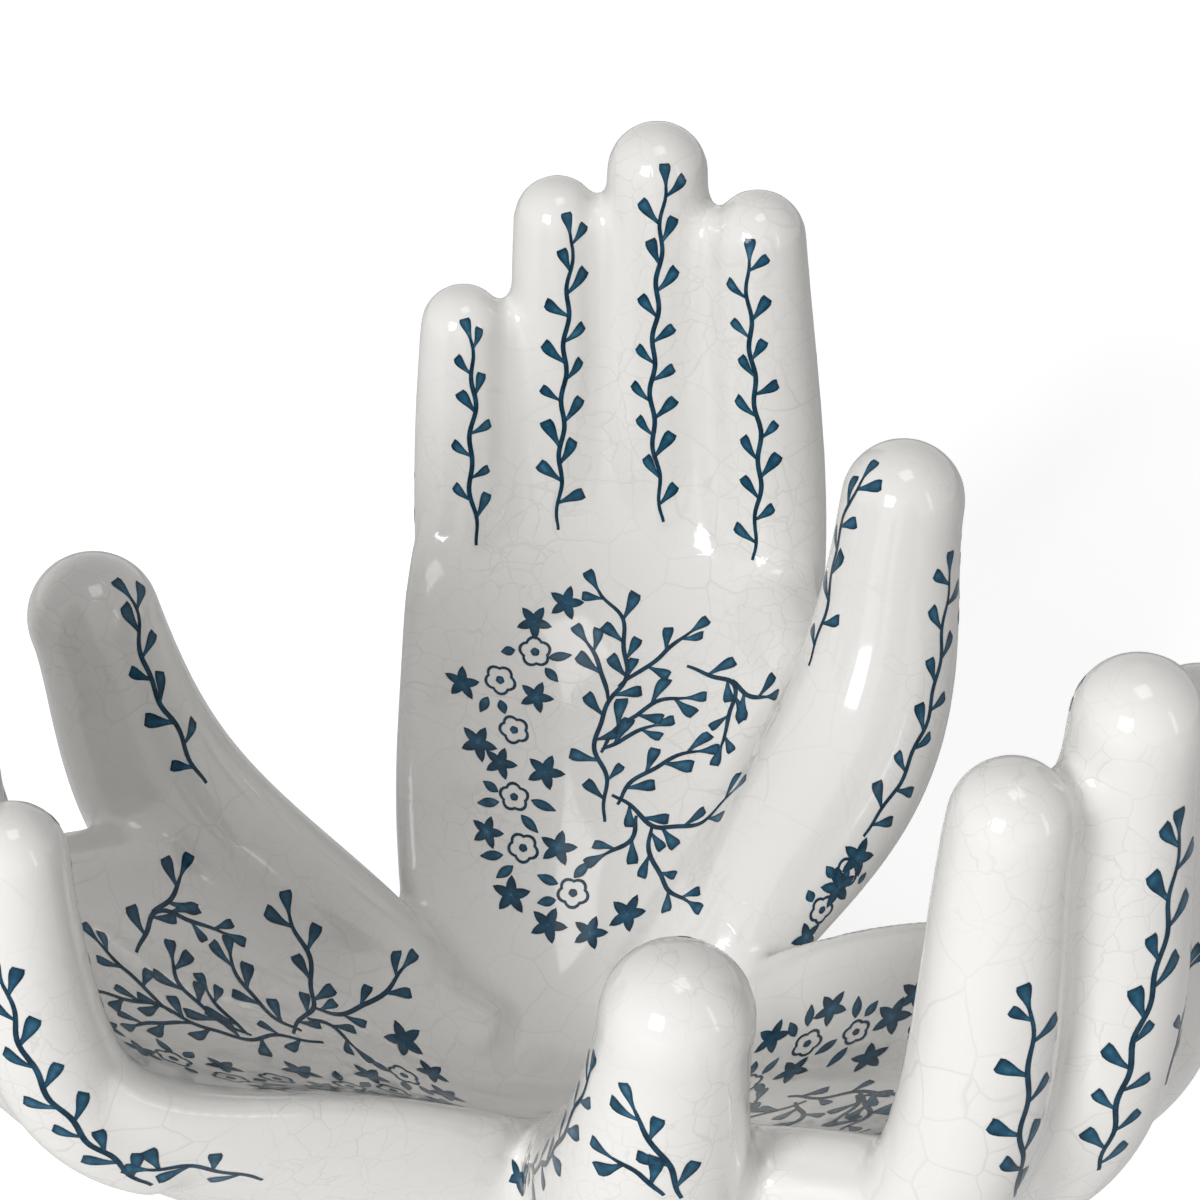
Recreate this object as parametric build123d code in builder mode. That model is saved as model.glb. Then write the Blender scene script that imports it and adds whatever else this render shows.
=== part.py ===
from build123d import *
from math import cos, sin, radians
import os

# Three alike right hands, cast hollow in clay, joined with slip at the wrists and fired as one
# bowl. Millimetres, Z up. The origin is the middle of the foot, on the surface it stands on.
# In a hand's own frame X points out along the palm, Y towards the little finger, and heights
# start at the hollow, which is the lowest point inside the bowl.

# Where each hand points, in degrees from X towards Y: the hands were set by eye.
back_azimuth = 89.5
left_azimuth = 207.0
right_azimuth = 322.0

# The lowest point inside the bowl, and the clay wall of each casting
hollow_height = 36.0
wall = 4.5

# The palm, from the wrist at the middle of the bowl up into the fingers
palm_reach = 101.0
palm_rise = 57.0
palm_thickness = 29.0
palm_little_side = 37.0
palm_thumb_side = 52.0
little_side_depth = 22.5
thumb_side_depth = 28.0
reach_shares = (-0.08, 0.14, 0.38, 0.61, 0.83, 0.955, 1.017, 1.056)
rise_shares = (-0.09, 0.06, 0.29, 0.52, 0.75, 1.0, 1.26, 1.75)
station_leans = (80, 68, 62, 60, 50, 24, 5, 0)
thickness_shares = (1.0, 1.03, 1.02, 0.97, 0.76, 0.66, 0.48, 0.345)
little_side_shares = (0.8, 0.88, 0.95, 0.98, 0.98, 0.94, 0.8, 0.7)
thumb_side_shares = (0.65, 0.77, 0.92, 1.0, 0.92, 0.88, 0.81, 0.69)
little_depth_shares = (0.47, 0.78, 1.0, 1.0, 0.72, 0.42, 0.34, 0.27)
thumb_depth_shares = (0.28, 0.5, 0.8, 1.0, 0.66, 0.32, 0.32, 0.33)
hollow_flat_share = 0.62
cavity_side_shares = (0.62, 0.62, 0.62, 0.64, 0.78, 0.85, 0.85)
cavity_lift_shares = (0.45, 0.45, 0.45, 0.5, 0.6, 0.8, 0.9)

# Each finger: how far its tip stands out past the palm, how far it is from the middle line,
# its length above the palm up to the middle of the rounded tip, and its radius there
little_lead = 5.5
little_offset = 24.1
little_length = 43.5
little_radius = 8.6
ring_lead = 10.7
ring_offset = 5.6
ring_length = 64.2
ring_radius = 8.7
middle_lead = 10.7
middle_offset = -13.7
middle_length = 74.3
middle_radius = 9.9
index_lead = 2.6
index_offset = -33.0
index_length = 64.1
index_radius = 9.5
finger_swell_share = 0.145
root_shrink_share = 0.1

# The knuckle and the root under each finger, and how far the finger spreads there
knuckle_drop = 1.0
knuckle_inset = 4.6
root_drop = 21.0
root_inset = 20.0
little_spread = 1.0
ring_spread = 0.4
middle_spread = -1.0
index_spread = -4.6

# The webs that fill the clefts between the fingers, measured from the shorter finger's tip
web_thickness = 10.0
web_rise = 2.4
web_depth = 33.0

# The thumb, from the foot of its mound to the middle of its rounded tip
thumb_tip_out = 65.8
thumb_tip_offset = -60.0
thumb_tip_height = 84.8
thumb_radius = 11.8
thumb_joint_out = 61.0
thumb_joint_offset = -57.6
thumb_joint_height = 60.0
thumb_joint_radius = 14.0
thumb_knuckle_out = 53.0
thumb_knuckle_offset = -52.0
thumb_knuckle_height = 39.0
thumb_knuckle_radius = 16.3
mound_top_out = 36.6
mound_top_offset = -38.0
mound_top_height = 21.4
mound_top_radius = 14.8
mound_foot_out = 19.0
mound_foot_offset = -24.0
mound_foot_height = -1.0
mound_foot_radius = 12.0

# The pad of flesh in the palm beside the mound, from the wrist to the thumb
pad_foot_out = 14.0
pad_foot_offset = -12.0
pad_foot_height = -2.0
pad_foot_radius = 12.0
pad_top_out = 34.0
pad_top_offset = -26.0
pad_top_height = 8.0
pad_top_radius = 15.0
pad_end_out = 55.0
pad_end_offset = -41.0
pad_end_height = 26.0
pad_end_radius = 14.0

# The web of skin from the thumb to the root of the index finger
skin_thumb_radius = 10.0
skin_middle_out = 73.0
skin_middle_offset = -41.0
skin_middle_height = 43.5
skin_middle_radius = 8.6
skin_index_drop = 7.0
skin_index_inset = 10.0
skin_index_radius = 9.0

# The slip between the hands, at this angle from each hand's middle line on its thumb side,
# and the plug of slip in the middle
joint_angle = 66.0
slip_thickness = 1.2
slip_reach = 75.0
plug_radius = 4.0
plug_foot_height = 8.0
plug_head_radius = 9.0
plug_head_height = 2.0

# The foot ring, and the vent hole under each hand
foot_outer_radius = 42.0
foot_inner_radius = 34.0
foot_flare = 4.0
foot_height = 34.0
vent_radius = 2.0
vent_reach = 24.0

# Sizes that follow from the ones above
bowl_height = hollow_height + palm_rise + middle_length + middle_radius
knuckle_height = palm_rise - knuckle_drop
root_height = palm_rise - root_drop
vent_top = hollow_height - palm_thickness / 2
little_tip = Vector(palm_reach + little_lead, little_offset, palm_rise + little_length)
ring_tip = Vector(palm_reach + ring_lead, ring_offset, palm_rise + ring_length)
middle_tip = Vector(palm_reach + middle_lead, middle_offset, palm_rise + middle_length)
index_tip = Vector(palm_reach + index_lead, index_offset, palm_rise + index_length)
thumb_tip = Vector(thumb_tip_out, thumb_tip_offset, thumb_tip_height)
thumb_joint = Vector(thumb_joint_out, thumb_joint_offset, thumb_joint_height)
thumb_knuckle = Vector(thumb_knuckle_out, thumb_knuckle_offset, thumb_knuckle_height)
mound_top = Vector(mound_top_out, mound_top_offset, mound_top_height)
mound_foot = Vector(mound_foot_out, mound_foot_offset, mound_foot_height)
pad_foot = Vector(pad_foot_out, pad_foot_offset, pad_foot_height)
pad_top = Vector(pad_top_out, pad_top_offset, pad_top_height)
pad_end = Vector(pad_end_out, pad_end_offset, pad_end_height)
skin_middle = Vector(skin_middle_out, skin_middle_offset, skin_middle_height)
skin_index = Vector(
    index_tip.X - skin_index_inset,
    index_tip.Y + index_spread,
    knuckle_height - skin_index_drop,
)


def palm_outline(station, inset):
    """Cupped outline of the palm in four quarters, each as the poles of a curve.

    With an inset it is the outline of the cavity, which stays well inside the raised sides."""
    half = palm_thickness * thickness_shares[station] / 2 - inset
    side_share = cavity_side_shares[station] if inset else 1
    lift_share = cavity_lift_shares[station] if inset else 1
    little_side = palm_little_side * little_side_shares[station] * side_share
    thumb_side = -palm_thumb_side * thumb_side_shares[station] * side_share
    little_lift = little_side_depth * little_depth_shares[station] * lift_share
    thumb_lift = thumb_side_depth * thumb_depth_shares[station] * lift_share
    little_flat = hollow_flat_share * little_side
    thumb_flat = hollow_flat_share * thumb_side
    little_edge = (little_side, little_lift)
    thumb_edge = (thumb_side, thumb_lift)
    inside = (0, half)
    outside = (0, -half)
    return [
        [little_edge, (little_side, little_lift + half), (little_flat, half), inside],
        [inside, (thumb_flat, half), (thumb_side, thumb_lift + half), thumb_edge],
        [thumb_edge, (thumb_side, thumb_lift - half), (thumb_flat, -half), outside],
        [outside, (little_flat, -half), (little_side, little_lift - half), little_edge],
    ]


def palm_plane(station):
    """Plane across the palm, halfway between its hollow and the back of the hand."""
    lean = radians(station_leans[station])
    half = palm_thickness * thickness_shares[station] / 2
    out = palm_reach * reach_shares[station] + half * cos(lean)
    up = palm_rise * rise_shares[station] - half * sin(lean)
    return Plane(origin=(out, 0, up), x_dir=(0, 1, 0), z_dir=(sin(lean), 0, cos(lean)))


def palm_body(stations, inset):
    with BuildPart() as body:
        for station in range(stations):
            with BuildSketch(palm_plane(station)):
                with BuildLine():
                    for poles in palm_outline(station, inset):
                        Bezier(*poles)
                make_face()
        loft()
    return body.part


def limb_body(points, radii, inset):
    """Limb with a round section that follows the points and ends in half a ball."""
    start = points[0] + (points[1] - points[0]).normalized() * inset
    points = [start, *points[1:]]
    with BuildLine() as course:
        Spline(*points)
    path = course.edges()[0]
    sideways = Vector(0, 1, 0)
    with BuildPart() as body:
        for point, radius in zip(points, radii):
            along = path.tangent_at(point)
            across = (sideways - along * sideways.dot(along)).normalized()
            end = Plane(origin=point, x_dir=across, z_dir=along)
            with BuildSketch(end):
                Circle(radius - inset)
        loft()
        with Locations(end):
            Sphere(radii[-1] - inset, arc_size1=0, align=(Align.CENTER, Align.CENTER, Align.MIN))
    return body.part


def finger_body(tip, radius, spread, inset):
    root = Vector(tip.X - root_inset, tip.Y + spread, root_height)
    knuckle = Vector(tip.X - knuckle_inset, tip.Y + spread, knuckle_height)
    middle = Vector(tip.X, tip.Y + spread / 2, (knuckle_height + tip.Z) / 2)
    full = radius * (1 + finger_swell_share)
    slim = radius * (1 - root_shrink_share)
    return limb_body([root, knuckle, middle, tip], [slim, full, full, radius], inset)


def thumb_body(inset):
    points = [mound_foot, mound_top, thumb_knuckle, thumb_joint, thumb_tip]
    radii = [
        mound_foot_radius,
        mound_top_radius,
        thumb_knuckle_radius,
        thumb_joint_radius,
        thumb_radius,
    ]
    return limb_body(points, radii, inset)


def pad_body():
    """Flesh that eases the mound into the hollow of the palm, which is solid clay."""
    points = [pad_foot, pad_top, pad_end]
    return limb_body(points, [pad_foot_radius, pad_top_radius, pad_end_radius], 0)


def skin_body():
    """Web of skin between the thumb and the index finger, which is solid clay."""
    points = [thumb_knuckle, skin_middle, skin_index]
    return limb_body(points, [skin_thumb_radius, skin_middle_radius, skin_index_radius], 0)


def cleft_web(first, second):
    """Upright slab between two neighbouring fingers."""
    top = min(first.Z, second.Z) + web_rise
    start = Vector(first.X, first.Y, top - web_depth)
    end = Vector(second.X, second.Y, top - web_depth)
    with BuildPart() as web:
        with BuildSketch(Plane(origin=(start + end) / 2, x_dir=end - start, z_dir=(0, 0, 1))):
            Rectangle((end - start).length, web_thickness)
        extrude(amount=web_depth)
    return web.part


def digit_bodies(inset):
    return [
        finger_body(little_tip, little_radius, little_spread, inset),
        finger_body(ring_tip, ring_radius, ring_spread, inset),
        finger_body(middle_tip, middle_radius, middle_spread, inset),
        finger_body(index_tip, index_radius, index_spread, inset),
        thumb_body(inset),
    ]


def joined(bodies):
    with BuildPart() as whole:
        for body in bodies:
            add(body)
    return whole.part


# The outside of a hand, and the hollow inside it, which leaves the webs and the pad solid
fillings = [
    cleft_web(little_tip, ring_tip),
    cleft_web(ring_tip, middle_tip),
    cleft_web(middle_tip, index_tip),
    skin_body(),
    pad_body(),
]
outer_form = joined([palm_body(len(reach_shares), 0), *digit_bodies(0), *fillings])
inner_form = joined([palm_body(len(reach_shares) - 1, wall), *digit_bodies(wall)])
with BuildPart() as hollow_shell:
    add(outer_form)
    add(inner_form, mode=Mode.SUBTRACT)


def placed(form, azimuth):
    """The form turned to its azimuth and raised over the foot."""
    with BuildPart() as moved:
        with Locations((0, 0, hollow_height)):
            add(form, rotation=(0, 0, azimuth))
    return moved.part


back_form = placed(outer_form, back_azimuth)
left_form = placed(outer_form, left_azimuth)
right_form = placed(outer_form, right_azimuth)


def joint_side(azimuth, turn):
    """Plane along one face of the slip, which looks back towards the hand at that azimuth."""
    direction = radians(azimuth + turn)
    side = -1 if turn > 0 else 1
    facing = (-side * sin(direction), side * cos(direction), 0)
    return Plane(origin=(0, 0, 0), z_dir=facing).offset(slip_thickness / 2)


def hand_casting(name, azimuth, next_azimuth):
    """Hollow hand, cut along the slip on either side and round the plug."""
    little_turn = (next_azimuth - azimuth) % 360 - joint_angle
    vent_place = (vent_reach * cos(radians(azimuth)), vent_reach * sin(radians(azimuth)), 0)
    shell = placed(hollow_shell.part, azimuth)
    with BuildPart() as hand:
        add(shell)
        split(bisect_by=joint_side(azimuth, -joint_angle), keep=Keep.TOP)
        split(bisect_by=joint_side(azimuth, little_turn), keep=Keep.TOP)
        Cylinder(plug_radius, 2 * bowl_height, mode=Mode.SUBTRACT)
        with Locations(vent_place):
            Cylinder(
                vent_radius,
                vent_top,
                align=(Align.CENTER, Align.CENTER, Align.MIN),
                mode=Mode.SUBTRACT,
            )
    hand.part.label = name
    export_step(hand.part, f"parts/{name}.step")


def slip_joint(name, form, previous_form, azimuth):
    """Layer of slip on the thumb side of the hand at azimuth, where both hands reach."""
    with BuildPart() as slip:
        with BuildSketch(Plane.XY.rotated((0, 0, azimuth - joint_angle))):
            Rectangle(slip_reach, slip_thickness, align=(Align.MIN, Align.CENTER))
        extrude(amount=bowl_height)
        add(form, mode=Mode.INTERSECT)
        add(previous_form, mode=Mode.INTERSECT)
        Cylinder(plug_radius, 2 * bowl_height, mode=Mode.SUBTRACT)
    slip.part.label = name
    export_step(slip.part, f"parts/{name}.step")


os.makedirs("parts", exist_ok=True)
hand_casting("hand_back", back_azimuth, left_azimuth)
hand_casting("hand_left", left_azimuth, right_azimuth)
hand_casting("hand_right", right_azimuth, back_azimuth)
slip_joint("slip_joint_right_back", back_form, right_form, back_azimuth)
slip_joint("slip_joint_back_left", left_form, back_form, left_azimuth)
slip_joint("slip_joint_left_right", right_form, left_form, right_azimuth)

# The plug closes the hole between the three wrists, and its low rounded head lies in the hollow
with BuildPart() as plug_head:
    with Locations((0, 0, hollow_height - plug_head_radius + plug_head_height)):
        Sphere(plug_head_radius)
    for form in (back_form, left_form, right_form):
        add(form, mode=Mode.SUBTRACT)
with BuildPart() as centre_plug:
    with Locations((0, 0, plug_foot_height)):
        Cylinder(
            plug_radius,
            hollow_height + plug_head_height / 3 - plug_foot_height,
            align=(Align.CENTER, Align.CENTER, Align.MIN),
        )
    add(plug_head.part)
centre_plug.part.label = "centre_plug"
export_step(centre_plug.part, "parts/centre_plug.step")

with BuildPart() as foot_ring:
    with BuildSketch(Plane.XZ):
        with BuildLine():
            Polyline(
                (foot_inner_radius, 0),
                (foot_outer_radius, 0),
                (foot_outer_radius + foot_flare, foot_height),
                (foot_inner_radius + foot_flare, foot_height),
                close=True,
            )
        make_face()
    revolve(axis=Axis.Z)
    for form in (back_form, left_form, right_form):
        add(form, mode=Mode.SUBTRACT)
foot_ring.part.label = "foot_ring"
export_step(foot_ring.part, "parts/foot_ring.step")
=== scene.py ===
import bpy
import math
import random
import numpy as np
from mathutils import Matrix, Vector
from mathutils.bvhtree import BVHTree


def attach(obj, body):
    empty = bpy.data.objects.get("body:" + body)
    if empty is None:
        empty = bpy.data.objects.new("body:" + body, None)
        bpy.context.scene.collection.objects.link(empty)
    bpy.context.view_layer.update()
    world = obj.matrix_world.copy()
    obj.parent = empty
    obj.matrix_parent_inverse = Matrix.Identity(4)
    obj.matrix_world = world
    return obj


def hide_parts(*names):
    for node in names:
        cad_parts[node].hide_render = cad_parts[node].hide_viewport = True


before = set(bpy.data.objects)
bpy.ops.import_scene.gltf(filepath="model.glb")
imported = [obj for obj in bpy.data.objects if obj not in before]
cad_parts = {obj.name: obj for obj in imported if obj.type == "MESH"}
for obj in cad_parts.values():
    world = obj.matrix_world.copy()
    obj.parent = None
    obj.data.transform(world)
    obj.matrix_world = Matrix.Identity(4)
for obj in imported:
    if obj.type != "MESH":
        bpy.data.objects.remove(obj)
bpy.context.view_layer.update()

# Lengths are in metres and angles in degrees.
# A hand's own frame runs out along the palm, across towards the thumb, and up.
MM = 0.001
HOLLOW = 36 * MM
AZIMUTHS = {"back": 89.5, "left": 207.0, "right": 322.0}
JOINT_TURN = 66.0
FULL_TURN = 360
CAD_NODES = {
    "back": ("hand_back", "slip_joint_right_back", "centre_plug"),
    "left": ("hand_left", "slip_joint_back_left"),
    "right": ("hand_right", "slip_joint_left_right"),
}

FRAME_PIXELS = 1200
LENS_PIXELS = 3152.0
SENSOR = 36.0
CLIP_START = 10 * MM
CAMERA_PLACE = Vector((0.0036, -0.4503, 0.4135))
CAMERA_TILT = 58.6

# Softening: a share of 1 moves a vertex all the way to the middle of its neighbours
VOXEL = 1.1 * MM
RELAX_ROUNDS, RELAX_SHARE = 4, 0.5
PROBE_ROUNDS = 3
HOLLOW_LEAST, HOLLOW_SPAN = 0.01 * MM, 0.05 * MM
CREASE_SPREAD, CREASE_BLUR = 7, 6
CREASE_ROUNDS, CREASE_SHARE = 60, 0.6
LAST_ROUNDS, LAST_SHARE = 2, 0.4

# The print
PRINT_LIFT = 0.07 * MM
STEM_WIDTH, STEM_STEP = 0.95 * MM, 0.9 * MM
STEM_END_SHARE, STEM_SWELL, STEM_HALFWAY = 0.65, 0.7, 0.5
STEM_SWAY, SWAY_WAVE = 0.45 * MM, 12 * MM
LEAF_LENGTH, LEAF_WIDTH = 5.9 * MM, 2.5 * MM
FIRST_LEAF, LEAF_GAP = 1.5 * MM, 4.5 * MM
LEAF_GAP_SHARES, LEAF_SIZES = (0.75, 1.15), (0.74, 1.08)
LEAF_LEAN, LEAF_BEND = (38, 62), (-0.05, 0.2)
TIP_LENGTH_SHARE, TIP_WIDTH_SHARE = 0.8, 0.9
LEAFLET_WIDTH = 2.1 * MM
FLOWER_SIZES = (0.9, 1.1)
STAR_RADIUS, STAR_PETALS, STAR_DEPTH = 4.0 * MM, 5, 0.45
POINTS_PER_PETAL, PETAL_POWER = 6, 1.2
BLOSSOM_RADIUS, BLOSSOM_HALF_LINE, BLOSSOM_POINTS = 2.9 * MM, 0.32 * MM, 30
BLOSSOM_WAIST, HEART_SHARE, HEART_DEPTH = 0.8, 0.3, 0.9
PRINT_SEEDS = {"back": 31, "left": 31, "right": 38}
# Ink runs from 0, thin and pale, to 1, pooled and dark
STEM_INK = (1, 0.75, 1)
LEAF_INK, LEAF_END_INK = (1, 0.5, 0.35, 0.5, 1), (1, 1.0, 1.0, 1.0, 1)
STAR_RINGS = ((0.02, 0.3), (0.35, 0.55), (0.7, 0.7), (1.0, 1))
BLOSSOM_INK = (1, 0.8, 1)
ACROSS_LEAF = (-1, -0.5, 0, 0.5, 1)

# Each lamp's place, width, height and watts
LAMPS = {
    "key": ((-1.2, -1.9, 1.1), 0.8, 0.8, 40.0),
    "top": ((0.1, -0.2, 1.2), 0.4, 0.4, 1.2),
    "side": ((0.8, -0.6, 0.45), 0.1, 0.6, 0.4),
}
LAMP_AIM = Vector((0, 0, 0.09))
FLOOR_REACH = 2.0
ROOM_LIGHT, ROOM_SEEN = 0.28, 1.0
FLOOR_GLOW = 0.6


def make_camera():
    data = bpy.data.cameras.new("camera")
    data.sensor_width = SENSOR
    data.lens = SENSOR * LENS_PIXELS / FRAME_PIXELS
    data.clip_start = CLIP_START
    camera = bpy.data.objects.new("camera", data)
    camera.location = CAMERA_PLACE
    camera.rotation_euler = (math.radians(CAMERA_TILT), 0, 0)
    bpy.context.scene.collection.objects.link(camera)
    bpy.context.scene.camera = camera


def new_object(name, verts, faces):
    mesh = bpy.data.meshes.new(name)
    mesh.from_pydata(verts, [], faces)
    mesh.update()
    made = bpy.data.objects.new(name, mesh)
    bpy.context.scene.collection.objects.link(made)
    return made


# The glazed body: all clay that the glaze covers, with softened creases

def joined_copy(names):
    verts, faces = [], []
    for name in names:
        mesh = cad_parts[name].data
        start = len(verts)
        verts += [v.co.copy() for v in mesh.vertices]
        faces += [[start + i for i in p.vertices] for p in mesh.polygons]
    return new_object("glazed_body", verts, faces)


def remesh(made):
    """Turns the overlapping solids into one skin."""
    change = made.modifiers.new("voxels", "REMESH")
    change.mode = "VOXEL"
    change.voxel_size = VOXEL
    graph = bpy.context.evaluated_depsgraph_get()
    mesh = bpy.data.meshes.new_from_object(made.evaluated_get(graph))
    made.modifiers.clear()
    made.data = mesh


def mesh_arrays(mesh):
    co = np.zeros(len(mesh.vertices) * 3)
    mesh.vertices.foreach_get("co", co)
    edges = np.zeros(len(mesh.edges) * 2, int)
    mesh.edges.foreach_get("vertices", edges)
    return co.reshape(-1, 3), edges.reshape(-1, 2)


def neighbour_mean(values, edges, degree):
    one, two = edges[:, 0], edges[:, 1]
    total = np.empty_like(values)
    for axis in range(values.shape[1]):
        total[:, axis] = np.bincount(one, values[two, axis], len(values))
        total[:, axis] += np.bincount(two, values[one, axis], len(values))
    return total / degree[:, None]


def vertex_normals(mesh):
    normals = np.zeros(len(mesh.vertices) * 3)
    mesh.vertices.foreach_get("normal", normals)
    return normals.reshape(-1, 3)


def soften(made):
    """Relaxes voxel steps everywhere, then fills the creases, where the surface is hollow."""
    mesh = made.data
    co, edges = mesh_arrays(mesh)
    degree = np.maximum(np.bincount(edges.ravel(), minlength=len(co)), 1).astype(float)
    for _ in range(RELAX_ROUNDS):
        co += RELAX_SHARE * (neighbour_mean(co, edges, degree) - co)
    mesh.vertices.foreach_set("co", co.ravel())
    mesh.update()
    smooth = co.copy()
    for _ in range(PROBE_ROUNDS):
        smooth += RELAX_SHARE * (neighbour_mean(smooth, edges, degree) - smooth)
    hollow = ((smooth - co) * vertex_normals(mesh)).sum(1)
    weight = np.clip((hollow - HOLLOW_LEAST) / HOLLOW_SPAN, 0, 1)[:, None]
    for _ in range(CREASE_SPREAD):
        weight = np.maximum(weight, neighbour_mean(weight, edges, degree))
    for _ in range(CREASE_BLUR):
        weight = neighbour_mean(weight, edges, degree)
    for _ in range(CREASE_ROUNDS):
        co += CREASE_SHARE * weight * (neighbour_mean(co, edges, degree) - co)
    for _ in range(LAST_ROUNDS):
        co += LAST_SHARE * (neighbour_mean(co, edges, degree) - co)
    mesh.vertices.foreach_set("co", co.ravel())
    mesh.update()


def split_by_hand(made):
    """Cuts the glazed body into its three castings, along the slip between them."""
    mesh = made.data
    co, _ = mesh_arrays(mesh)
    normals = vertex_normals(mesh)
    faces = [tuple(p.vertices) for p in mesh.polygons]
    centres = np.array([co[list(f)].mean(0) for f in faces])
    turn = np.degrees(np.arctan2(centres[:, 1], centres[:, 0]))
    order = list(AZIMUTHS)
    pieces = {}
    for name in order:
        following = order[(order.index(name) + 1) % len(order)]
        start = AZIMUTHS[name] - JOINT_TURN
        span = (AZIMUTHS[following] - JOINT_TURN - start) % FULL_TURN
        chosen = np.nonzero((turn - start) % FULL_TURN < span)[0]
        used = np.unique(np.concatenate([faces[k] for k in chosen]))
        place = np.full(len(co), -1)
        place[used] = np.arange(len(used))
        piece = new_object(
            "glazed_hand_" + name,
            co[used].tolist(),
            [[int(place[i]) for i in faces[k]] for k in chosen],
        )
        piece.data.polygons.foreach_set("use_smooth", [True] * len(chosen))
        piece.data.normals_split_custom_set_from_vertices(normals[used].tolist())
        pieces[name] = piece
    return pieces


# The print: leaves, stems and flowers that lie on the glaze

class Print:
    """Thin flat shapes laid on a surface, gathered into one mesh."""

    def __init__(self, tree, normals, faces):
        self.tree, self.normals_of, self.faces_of = tree, normals, faces
        self.verts, self.faces, self.ink, self.normals = [], [], [], []

    def surface(self, point):
        """The nearest place on the glaze and the glaze's smooth normal there."""
        place, _, face, _ = self.tree.find_nearest(point)
        normal = Vector(self.normals_of[list(self.faces_of[face])].mean(0))
        return place, normal.normalized()

    def add_grid(self, rows, ink_rows, closed=False):
        start = len(self.verts)
        width = len(rows[0])
        for row, inks in zip(rows, ink_rows):
            for point, ink in zip(row, inks):
                place, normal = self.surface(point)
                self.verts.append(place + normal * PRINT_LIFT)
                self.normals.append(normal)
                self.ink.append(ink)
        for i in range(len(rows) - 1):
            for j in range(width if closed else width - 1):
                a = start + i * width + j
                b = start + i * width + (j + 1) % width
                self.faces.append((a, a + width, b + width, b))

    def ribbon(self, points):
        """A brushed line, darker along its edges and finer at its ends."""
        rows = []
        last = len(points) - 1
        for k, point in enumerate(points):
            ahead = points[min(k + 1, last)] - points[max(k - 1, 0)]
            _, normal = self.surface(point)
            side = normal.cross(ahead).normalized()
            reach = min(k, last - k) / max(last, 1)
            share = STEM_END_SHARE + STEM_SWELL * min(reach * 2, STEM_HALFWAY)
            half = STEM_WIDTH / 2 * share
            rows.append([point + side * half * s for s in (-1, 0, 1)])
        self.add_grid(rows, [STEM_INK] * len(rows))

    def blade(self, root, direction, length, width, shape, bend=0.0):
        """A leaf with the half-widths given along it, bent sideways towards its end."""
        root, normal = self.surface(root)
        along = (direction - normal * direction.dot(normal)).normalized()
        side = normal.cross(along)
        steps = len(shape) - 1
        rows, inks = [], []
        for k, share in enumerate(shape):
            reach = k / steps
            middle = root + (along * reach + side * bend * reach ** 2) * length
            half = width / 2 * share
            rows.append([middle + side * half * s for s in ACROSS_LEAF])
            inks.append(LEAF_END_INK if k in (0, steps) else LEAF_INK)
        self.add_grid(rows, inks)

    def ring(self, centre, spin, reaches):
        """Points round a centre on the glaze, each at its own reach."""
        centre, normal = self.surface(centre)
        along = normal.orthogonal().normalized()
        side = normal.cross(along)
        points = []
        for k, reach in enumerate(reaches):
            angle = spin + 2 * math.pi * k / len(reaches)
            points.append(centre + (along * math.cos(angle) + side * math.sin(angle)) * reach)
        return points

    def star(self, centre, radius, spin, depth=STAR_DEPTH):
        """A filled star whose petals meet at a depth of its radius."""
        count = STAR_PETALS * POINTS_PER_PETAL
        rings, inks = [], []
        for share, ink in STAR_RINGS:
            reaches = []
            for k in range(count):
                swing = abs(((k / POINTS_PER_PETAL) % 1) * 2 - 1)
                reaches.append(radius * share * (depth + (1 - depth) * swing ** PETAL_POWER))
            rings.append(self.ring(centre, spin, reaches))
            inks.append([ink] * count)
        self.add_grid(rings, inks, closed=True)

    def blossom(self, centre, radius, spin):
        """A round flower in outline, with a dot at its heart."""
        waves = STAR_PETALS / 2
        rings, inks = [], []
        for side, ink in zip((-1, 0, 1), BLOSSOM_INK):
            reaches = []
            for k in range(BLOSSOM_POINTS):
                turn = 2 * math.pi * k / BLOSSOM_POINTS
                swell = (1 - BLOSSOM_WAIST) * abs(math.cos(waves * turn))
                reaches.append(radius * (BLOSSOM_WAIST + swell) + side * BLOSSOM_HALF_LINE)
            rings.append(self.ring(centre, spin, reaches))
            inks.append([ink] * BLOSSOM_POINTS)
        self.add_grid(rings, inks, closed=True)
        self.star(centre, radius * HEART_SHARE, spin, depth=HEART_DEPTH)

    def finish(self, name):
        made = new_object(name, self.verts, self.faces)
        layer = made.data.attributes.new("ink", "FLOAT", "POINT")
        layer.data.foreach_set("value", self.ink)
        made.data.polygons.foreach_set("use_smooth", [True] * len(self.faces))
        made.data.normals_split_custom_set_from_vertices([tuple(n) for n in self.normals])
        return made


# Half-widths along a leaf from its root, as shares of the leaf's own half-width
WEDGE = (0.24, 0.3, 0.42, 0.6, 0.82, 1.0, 1.08, 0.9)
OVAL = (0.1, 0.65, 0.95, 1.0, 0.85, 0.5, 0.1)


def curve_points(anchors):
    """Points about a step apart on a smooth curve through the anchors."""
    ends = [anchors[0] * 2 - anchors[1]] + list(anchors) + [anchors[-1] * 2 - anchors[-2]]
    points = []
    for k in range(1, len(ends) - 2):
        a, b, c, d = ends[k - 1:k + 3]
        slope = c - a
        bow = 2 * a - 5 * b + 4 * c - d
        twist = 3 * b - a - 3 * c + d
        count = max(int((c - b).length / STEM_STEP), 2)
        for i in range(count):
            t = i / count
            points.append((2 * b + slope * t + bow * t ** 2 + twist * t ** 3) / 2)
    points.append(anchors[-1])
    return points


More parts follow.
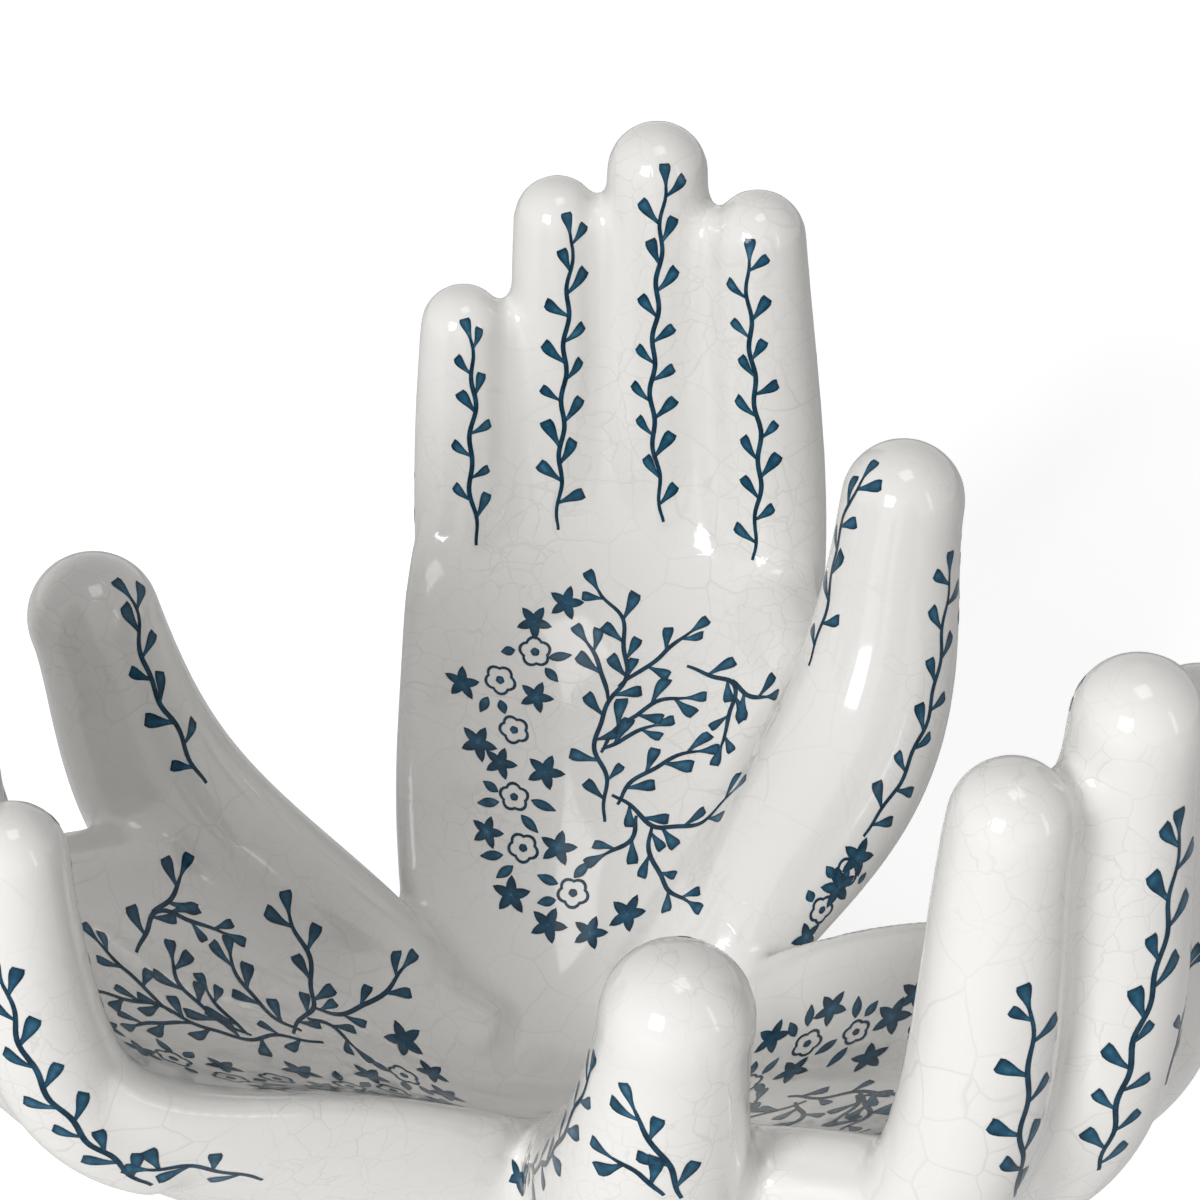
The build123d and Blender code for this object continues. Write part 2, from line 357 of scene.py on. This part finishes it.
def swaying(sheet, points, rng):
    """The same course with a gentle wave to either side."""
    phase, moved = rng.uniform(0, 2 * math.pi), []
    travelled = 0.0
    for k, point in enumerate(points):
        ahead = points[min(k + 1, len(points) - 1)] - points[max(k - 1, 0)]
        place, normal = sheet.surface(point)
        travelled += ahead.length / 2
        side = normal.cross(ahead).normalized()
        sway = math.sin(phase + 2 * math.pi * travelled / SWAY_WAVE)
        moved.append(place + side * STEM_SWAY * sway)
    return [sheet.surface(p)[0] for p in moved]


def lay_sprig(sheet, anchors, rng):
    """A stem with leaves on either side by turns and one at its tip."""
    points = swaying(sheet, curve_points(anchors), rng)
    sheet.ribbon(points)
    travelled, due, turn = 0.0, FIRST_LEAF, rng.choice((-1, 1))
    for k in range(1, len(points)):
        ahead = points[k] - points[k - 1]
        travelled += ahead.length
        if travelled < due or k > len(points) - 3:
            continue
        due = travelled + LEAF_GAP * rng.uniform(*LEAF_GAP_SHARES)
        turn = -turn
        _, normal = sheet.surface(points[k])
        ahead.normalize()
        side = normal.cross(ahead)
        lean = math.radians(rng.uniform(*LEAF_LEAN))
        # the stem grows from the last anchor towards the first
        direction = -ahead * math.cos(lean) + side * math.sin(lean) * turn
        size = rng.uniform(*LEAF_SIZES)
        bend = turn * rng.uniform(*LEAF_BEND)
        sheet.blade(points[k], direction, LEAF_LENGTH * size, LEAF_WIDTH * size, WEDGE, bend)
    length, width = LEAF_LENGTH * TIP_LENGTH_SHARE, LEAF_WIDTH * TIP_WIDTH_SHARE
    sheet.blade(points[0], points[0] - points[1], length, width, WEDGE)


def hand_place(point, azimuth):
    """A point in the hand's own frame as a point of the row frame."""
    turn = math.radians(azimuth)
    out, across, up = point
    return Vector((
        math.cos(turn) * out + math.sin(turn) * across,
        math.sin(turn) * out - math.cos(turn) * across,
        up + HOLLOW,
    ))


def own_frame(place, azimuth):
    """A point of the row frame as a point in the hand's own frame."""
    turn = math.radians(azimuth)
    x, y, z = place
    return Vector((
        math.cos(turn) * x + math.sin(turn) * y,
        math.sin(turn) * x - math.cos(turn) * y,
        z - HOLLOW,
    ))


def seen_at(tree, column, row):
    """The surface point that the photograph shows at a pixel."""
    tilt = math.radians(CAMERA_TILT)
    right = (column - FRAME_PIXELS / 2) / LENS_PIXELS
    rise = (FRAME_PIXELS / 2 - row) / LENS_PIXELS
    ray = Vector((
        right,
        math.sin(tilt) + rise * math.cos(tilt),
        -math.cos(tilt) + rise * math.sin(tilt),
    ))
    place, _, _, _ = tree.ray_cast(CAMERA_PLACE, ray.normalized())
    return place


# Each sprig is named by pixels of the photograph along it, on the hand where it shows best.
# The first pixel is the tip.
SPRIGS = {
    "back": (
        ((470, 340), (474, 400), (470, 470), (478, 545)),
        ((572, 235), (566, 330), (562, 430), (558, 530)),
        ((664, 187), (657, 300), (652, 410), (663, 522)),
        ((747, 262), (752, 360), (760, 460), (752, 560)),
        ((862, 480), (838, 540), (828, 600), (808, 665)),
        ((950, 575), (932, 700), (895, 790), (862, 835)),
        ((600, 590), (621, 620), (626, 655), (622, 685),
         (602, 715), (596, 745), (606, 785), (604, 822)),
        ((586, 645), (601, 665), (606, 700)),
        ((688, 632), (664, 655), (642, 668), (620, 688)),
        ((684, 697), (652, 705), (625, 722), (600, 752)),
        ((652, 728), (626, 736), (602, 750)),
        ((697, 752), (663, 762), (634, 782), (616, 804)),
        ((732, 793), (700, 822), (662, 828), (640, 814), (612, 795)),
        ((686, 903), (660, 878), (651, 850), (650, 824)),
        ((608, 855), (630, 838), (638, 816)),
        ((720, 744), (731, 715), (730, 682), (686, 668)),
        ((765, 698), (745, 692), (731, 682)),
    ),
    "left": (
        ((5, 985), (28, 1060), (78, 1130), (150, 1186)),
        ((150, 1168), (205, 1168), (262, 1180)),
    ),
    "right": (
        ((1031, 1010), (1030, 1070), (1022, 1130), (1014, 1197)),
        ((1180, 835), (1160, 960), (1130, 1060), (1098, 1170)),
        ((1190, 965), (1182, 1020), (1166, 1084)),
        ((632, 1110), (658, 1150), (684, 1197)),
        ((612, 1160), (640, 1172), (662, 1196)),
    ),
}
# Flowers and oval leaflets are named by pixels on the back hand, the leaflets from end to end
FLOWERS = (
    (566, 603, "star"), (534, 622, "star"), (462, 683, "star"), (536, 697, "star"),
    (478, 743, "star"), (500, 763, "star"), (545, 772, "star"), (487, 832, "star"),
    (558, 848, "star"), (511, 895, "star"), (548, 925, "star"), (590, 933, "star"),
    (628, 914, "star"), (806, 938, "star"), (838, 888, "star"), (858, 858, "star"),
    (535, 652, "blossom"), (500, 680, "blossom"), (514, 730, "blossom"), (514, 797, "blossom"),
    (523, 848, "blossom"), (573, 893, "blossom"), (846, 874, "blossom"), (822, 910, "blossom"),
)
LEAFLETS = (
    ((548, 658), (572, 655)), ((545, 668), (558, 682)), ((515, 650), (501, 652)),
    ((488, 697), (480, 712)), ((500, 700), (505, 714)), ((498, 792), (483, 781)),
    ((499, 802), (477, 803)), ((531, 800), (556, 811)), ((521, 815), (538, 833)),
    ((503, 855), (480, 856)), ((513, 866), (496, 878)), ((574, 878), (589, 862)),
    ((558, 884), (537, 875)), ((556, 900), (537, 903)), ((834, 878), (826, 866)),
    ((858, 884), (866, 872)), ((812, 902), (808, 890)), ((830, 924), (838, 934)),
)


def placed_patterns(tree):
    """Every sprig and flower in a hand's own frame, so that each hand can carry them all."""
    sprigs, flowers, leaflets = [], [], []
    for name, rows in SPRIGS.items():
        for row in rows:
            found = [seen_at(tree, *pixel) for pixel in row]
            found = [own_frame(p, AZIMUTHS[name]) for p in found if p is not None]
            if len(found) > 1:
                sprigs.append(found)
    for column, row, kind in FLOWERS:
        place = seen_at(tree, column, row)
        if place is not None:
            flowers.append((own_frame(place, AZIMUTHS["back"]), kind))
    for ends in LEAFLETS:
        found = [seen_at(tree, *pixel) for pixel in ends]
        if None not in found:
            leaflets.append([own_frame(p, AZIMUTHS["back"]) for p in found])
    return sprigs, flowers, leaflets


def lay_print(name, tree, normals, faces, patterns):
    """The whole print of one hand as one mesh."""
    sprigs, flowers, leaflets = patterns
    azimuth = AZIMUTHS[name]
    rng = random.Random(PRINT_SEEDS[name])
    sheet = Print(tree, normals, faces)
    for anchors in sprigs:
        lay_sprig(sheet, [hand_place(p, azimuth) for p in anchors], rng)
    for place, kind in flowers:
        centre = hand_place(place, azimuth)
        spin = rng.uniform(0, math.pi)
        size = rng.uniform(*FLOWER_SIZES)
        if kind == "star":
            sheet.star(centre, STAR_RADIUS * size, spin)
        else:
            sheet.blossom(centre, BLOSSOM_RADIUS * size, spin)
    for root, end in leaflets:
        root, end = hand_place(root, azimuth), hand_place(end, azimuth)
        sheet.blade(root, end - root, (end - root).length, LEAFLET_WIDTH, OVAL)
    return sheet.finish("print_" + name)


# Materials

GLAZE_IOR = 1.52
BUMP_HEIGHT = 0.2 * MM
# Two sets of cracks: cells per metre, the lines' width as a share of a cell, and patches per metre
COARSE_CRACKS = (85, 0.022, 22)
FINE_CRACKS = (190, 0.03, 31)
PATCH_EDGES = (0.42, 0.62)
CRACK_WARP_SHARE, CRACK_WARP = 0.7, 0.006
CRACK_STRENGTH = 0.3
CRACK_COLOUR = (0.50, 0.47, 0.42, 1)
GLAZE_COLOURS = ((0.83, 0.82, 0.795, 1), (0.80, 0.785, 0.755, 1))
FOOT_COLOURS = ((0.78, 0.76, 0.72, 1), (0.68, 0.65, 0.59, 1))
PALE_INK = (0.06, 0.19, 0.29, 1)
MIDDLE_INK = (0.012, 0.078, 0.14, 1)
DARK_INK = (0.003, 0.026, 0.052, 1)
WHITE = (1, 1, 1, 1)


def principled(name, sockets):
    """A new material with the plain values of its shader set."""
    material = bpy.data.materials.new(name)
    material.use_nodes = True
    shader = material.node_tree.nodes["Principled BSDF"]
    for socket, value in sockets.items():
        shader.inputs[socket].default_value = value
    return material, material.node_tree, shader


def add_node(tree, kind, sockets=None, **settings):
    """A node with its settings made first and then the values of its sockets."""
    node = tree.nodes.new("ShaderNode" + kind)
    for name, value in settings.items():
        setattr(node, name, value)
    for socket, value in (sockets or {}).items():
        node.inputs[socket].default_value = value
    return node


def noise(tree, scale, detail):
    """Noise over the object's own coordinates."""
    made = add_node(tree, "TexNoise", {"Scale": scale, "Detail": detail})
    tree.links.new(add_node(tree, "TexCoord").outputs["Object"], made.inputs["Vector"])
    return made


def crackle_lines(tree, scale, width, patches):
    """1 on the fine cracks of the glaze and 0 between them."""
    links = tree.links
    where = add_node(tree, "TexCoord")
    warp = noise(tree, scale * CRACK_WARP_SHARE, 3)
    blend = add_node(tree, "Mix", {"Factor": CRACK_WARP}, data_type="VECTOR")
    cells = add_node(tree, "TexVoronoi", {"Scale": scale}, feature="DISTANCE_TO_EDGE")
    ramp = add_node(
        tree, "MapRange", {"From Min": 0.0, "From Max": width, "To Min": 1.0, "To Max": 0.0}
    )
    patch = noise(tree, patches, 2)
    fade = add_node(tree, "MapRange", {"From Min": PATCH_EDGES[0], "From Max": PATCH_EDGES[1]})
    times = add_node(tree, "Math", operation="MULTIPLY")
    links.new(where.outputs["Object"], blend.inputs["A"])
    links.new(warp.outputs["Color"], blend.inputs["B"])
    links.new(blend.outputs["Result"], cells.inputs["Vector"])
    links.new(cells.outputs["Distance"], ramp.inputs["Value"])
    links.new(patch.outputs["Fac"], fade.inputs["Value"])
    links.new(ramp.outputs["Result"], times.inputs[0])
    links.new(fade.outputs["Result"], times.inputs[1])
    return times.outputs["Value"]


def glaze_material():
    material, tree, shader = principled("white_glaze", {
        "Roughness": 0.1, "IOR": GLAZE_IOR, "Coat Weight": 0.3, "Coat Roughness": 0.04,
    })
    links = tree.links
    either = add_node(tree, "Math", operation="MAXIMUM")
    links.new(crackle_lines(tree, *COARSE_CRACKS), either.inputs[0])
    links.new(crackle_lines(tree, *FINE_CRACKS), either.inputs[1])
    cloud = noise(tree, 30, 4)
    one, other = GLAZE_COLOURS
    tint = add_node(tree, "Mix", {"A": one, "B": other}, data_type="RGBA")
    strength = add_node(tree, "Math", {1: CRACK_STRENGTH}, operation="MULTIPLY")
    lines = add_node(tree, "Mix", {"B": CRACK_COLOUR}, data_type="RGBA")
    bump = add_node(tree, "Bump", {"Strength": 0.12, "Distance": BUMP_HEIGHT}, invert=True)
    links.new(cloud.outputs["Fac"], tint.inputs["Factor"])
    links.new(tint.outputs["Result"], lines.inputs["A"])
    links.new(either.outputs["Value"], strength.inputs[0])
    links.new(strength.outputs["Value"], lines.inputs["Factor"])
    links.new(lines.outputs["Result"], shader.inputs["Base Color"])
    links.new(either.outputs["Value"], bump.inputs["Height"])
    links.new(bump.outputs["Normal"], shader.inputs["Normal"])
    return material


def ink_material():
    """Blue ink by the depth that each shape of the print carries, with slight pooling."""
    material, tree, shader = principled("blue_print", {
        "Roughness": 0.12, "IOR": GLAZE_IOR, "Specular IOR Level": 0.2,
    })
    links = tree.links
    ink = add_node(tree, "Attribute", attribute_name="ink")
    pool = noise(tree, 420, 3)
    shade = add_node(tree, "Math", {1: 0.3}, operation="SUBTRACT")
    depth = add_node(tree, "Math", {1: 0.7}, operation="MULTIPLY_ADD")
    ramp = add_node(tree, "ValToRGB")
    pale, dark = ramp.color_ramp.elements
    pale.position, pale.color = 0.1, PALE_INK
    dark.position, dark.color = 0.9, DARK_INK
    ramp.color_ramp.elements.new(0.5).color = MIDDLE_INK
    links.new(pool.outputs["Fac"], shade.inputs[0])
    links.new(ink.outputs["Fac"], depth.inputs[0])
    links.new(shade.outputs["Value"], depth.inputs[2])
    links.new(depth.outputs["Value"], ramp.inputs["Fac"])
    links.new(ramp.outputs["Color"], shader.inputs["Base Color"])
    return material


def foot_material():
    material, tree, shader = principled("bare_foot", {"Roughness": 0.6})
    links = tree.links
    grain = noise(tree, 900, 4)
    one, other = FOOT_COLOURS
    tint = add_node(tree, "Mix", {"A": one, "B": other}, data_type="RGBA")
    bump = add_node(tree, "Bump", {"Strength": 0.25, "Distance": BUMP_HEIGHT})
    links.new(grain.outputs["Fac"], tint.inputs["Factor"])
    links.new(tint.outputs["Result"], shader.inputs["Base Color"])
    links.new(grain.outputs["Fac"], bump.inputs["Height"])
    links.new(bump.outputs["Normal"], shader.inputs["Normal"])
    return material


# The studio

def area_light(name, place, width, height, power):
    data = bpy.data.lights.new(name, "AREA")
    data.shape = "RECTANGLE"
    data.size = width
    data.size_y = height
    data.energy = power
    lamp = bpy.data.objects.new(name, data)
    lamp.location = place
    lamp.rotation_euler = (LAMP_AIM - Vector(place)).to_track_quat("-Z", "Y").to_euler()
    bpy.context.scene.collection.objects.link(lamp)


def make_world():
    """A soft even light that the camera, mirrors and glass see as white."""
    world = bpy.data.worlds.new("studio")
    bpy.context.scene.world = world
    world.use_nodes = True
    tree = world.node_tree
    links = tree.links
    back = tree.nodes["Background"]
    back.inputs["Color"].default_value = WHITE
    path = add_node(tree, "LightPath")
    mirrored = add_node(tree, "Math", operation="MAXIMUM")
    seen = add_node(tree, "Math", operation="MAXIMUM")
    level = add_node(tree, "MapRange", {"To Min": ROOM_LIGHT, "To Max": ROOM_SEEN})
    links.new(path.outputs["Is Glossy Ray"], mirrored.inputs[0])
    links.new(path.outputs["Is Transmission Ray"], mirrored.inputs[1])
    links.new(path.outputs["Is Camera Ray"], seen.inputs[0])
    links.new(mirrored.outputs["Value"], seen.inputs[1])
    links.new(seen.outputs["Value"], level.inputs["Value"])
    links.new(level.outputs["Result"], back.inputs["Strength"])


def make_floor():
    reach = FLOOR_REACH
    corners = [(-reach, -reach, 0), (reach, -reach, 0), (reach, reach, 0), (-reach, reach, 0)]
    floor = new_object("floor", corners, [(0, 1, 2, 3)])
    material, tree, shader = principled("floor", {
        "Base Color": (0.9, 0.9, 0.9, 1), "Roughness": 0.8, "Emission Color": WHITE,
    })
    path = add_node(tree, "LightPath")
    glow = add_node(tree, "Math", {1: FLOOR_GLOW}, operation="MULTIPLY")
    tree.links.new(path.outputs["Is Camera Ray"], glow.inputs[0])
    tree.links.new(glow.outputs["Value"], shader.inputs["Emission Strength"])
    floor.data.materials.append(material)


def build():
    make_camera()
    body = joined_copy([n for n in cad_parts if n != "foot_ring"])
    remesh(body)
    soften(body)
    normals = vertex_normals(body.data)
    faces = [tuple(p.vertices) for p in body.data.polygons]
    tree = BVHTree.FromPolygons([v.co for v in body.data.vertices], faces)
    hands = split_by_hand(body)
    bpy.data.objects.remove(body)
    glaze = glaze_material()
    ink = ink_material()
    patterns = placed_patterns(tree)
    for name, piece in hands.items():
        piece.data.materials.append(glaze)
        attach(piece, "root")
        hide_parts(*CAD_NODES[name])
        pattern = lay_print(name, tree, normals, faces, patterns)
        pattern.data.materials.append(ink)
        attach(pattern, "root")
    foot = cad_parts["foot_ring"]
    foot.data.materials.clear()
    foot.data.materials.append(foot_material())
    make_world()
    make_floor()
    for name, (place, width, height, power) in LAMPS.items():
        area_light(name, place, width, height, power)


build()
bpy.context.scene.view_settings.view_transform = "Standard"
